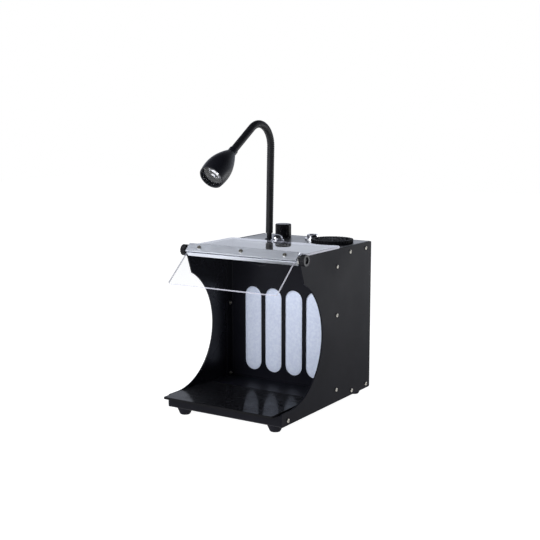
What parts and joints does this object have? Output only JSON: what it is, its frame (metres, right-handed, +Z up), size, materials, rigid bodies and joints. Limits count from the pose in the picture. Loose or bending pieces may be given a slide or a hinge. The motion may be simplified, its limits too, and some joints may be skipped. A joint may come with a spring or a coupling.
{
  "type": "bench filter hood",
  "caption": "Open-fronted bench extraction box with a slotted filter wall, blower, clear tilting visor, roof window and gooseneck lamp.",
  "frame": {"origin": "middle of the overall box, on the surface that the feet stand on", "axes": "+X to the right seen from the front, +Y to the rear, +Z up"},
  "size_m": [0.2166, 0.2848, 0.4361],
  "materials": {
    "powder_black": "satin black powder coat",
    "gloss_black": "gloss black paint",
    "clear_acrylic": "clear polished acrylic",
    "tray_black": "gloss black sheet",
    "filter_white": "white felted filter cotton",
    "bare_aluminium": "brushed aluminium",
    "chrome": "polished chrome",
    "screw_steel": "zinc plated steel",
    "black_plastic": "moulded black plastic",
    "knob_black": "moulded gloss black plastic",
    "rubber_black": "moulded black rubber",
    "nylon_white": "natural nylon",
    "board_green": "circuit board",
    "motor_steel": "motor can",
    "arm_black": "black coated flexible steel arm",
    "lamp_black": "satin black lamp head",
    "mirror": "bright reflector",
    "lens_clear": "clear lens"
  },
  "bodies": {
    "housing": {"left_side_panel": "powder_black", "right_side_panel": "powder_black", "left_side_screws": "screw_steel", "right_side_screws": "screw_steel", "left_side_nuts": "screw_steel", "right_side_nuts": "screw_steel", "base_pan": "powder_black", "floor_deck": "gloss_black", "tray_plate": "tray_black", "slotted_partition": "powder_black", "filter_pad": "filter_white", "filter_retainer": "powder_black", "rear_panel": "powder_black", "rear_screws": "screw_steel", "roof_plate": "gloss_black", "roof_window": "clear_acrylic", "foot_front_left": "rubber_black", "foot_front_right": "rubber_black", "foot_rear_left": "rubber_black", "foot_rear_right": "rubber_black", "foot_screws": "screw_steel", "blower_housing": "black_plastic", "blower_cover": "black_plastic", "blower_motor": "motor_steel", "exhaust_cap": "black_plastic", "control_board": "board_green", "pot_body": "screw_steel", "switch_body": "chrome", "switch_nut": "screw_steel", "power_socket": "chrome", "socket_nut": "screw_steel", "lamp_stem": "knob_black", "lamp_nut": "screw_steel", "gooseneck_arm": "arm_black", "lamp_ferrule": "lamp_black", "lamp_shell": "lamp_black", "lamp_led": "board_green", "lamp_reflector": "mirror", "lamp_cone": "lamp_black", "lamp_lens": "lens_clear"},
    "visor": {"visor_bar": "bare_aluminium", "visor_pane": "clear_acrylic", "visor_strip": "bare_aluminium", "visor_screws": "screw_steel", "visor_washers": "nylon_white"},
    "visor_knob_left": {"visor_knob_left": "knob_black"},
    "visor_knob_right": {"visor_knob_right": "knob_black"},
    "speed_control": {"speed_knob": "knob_black", "pot_shaft": "screw_steel"},
    "switch_button": {"switch_button": "chrome"},
    "impeller": {"blower_impeller": "black_plastic"}
  },
  "joints": [
    {"name": "visor_tilt", "type": "hinge", "parent": "housing", "child": "visor", "pos_m": [0, -0.07435, 0.2425], "axis": [1, 0, 0], "range_deg": [-100, 49]},
    {"name": "visor_knob_left_turn", "type": "hinge", "parent": "visor", "child": "visor_knob_left", "pos_m": [-0.1, -0.07435, 0.2425], "axis": [-1, 0, 0], "range_deg": [0, 180]},
    {"name": "visor_knob_right_turn", "type": "hinge", "parent": "visor", "child": "visor_knob_right", "pos_m": [0.1, -0.07435, 0.2425], "axis": [1, 0, 0], "range_deg": [0, 180]},
    {"name": "speed_knob_turn", "type": "hinge", "parent": "housing", "child": "speed_control", "pos_m": [-0.045, 0.11065, 0.247], "axis": [0, 0, -1], "range_deg": [0, 300]},
    {"name": "switch_press", "type": "slide", "parent": "housing", "child": "switch_button", "axis": [0, 0, -1], "range_m": [0, 0.0025], "stiffness_N_per_m": 300},
    {"name": "impeller_spin", "type": "hinge", "parent": "housing", "child": "impeller", "pos_m": [0, 0.09765, 0.123], "axis": [0, 1, 0], "continuous": true}
  ]
}
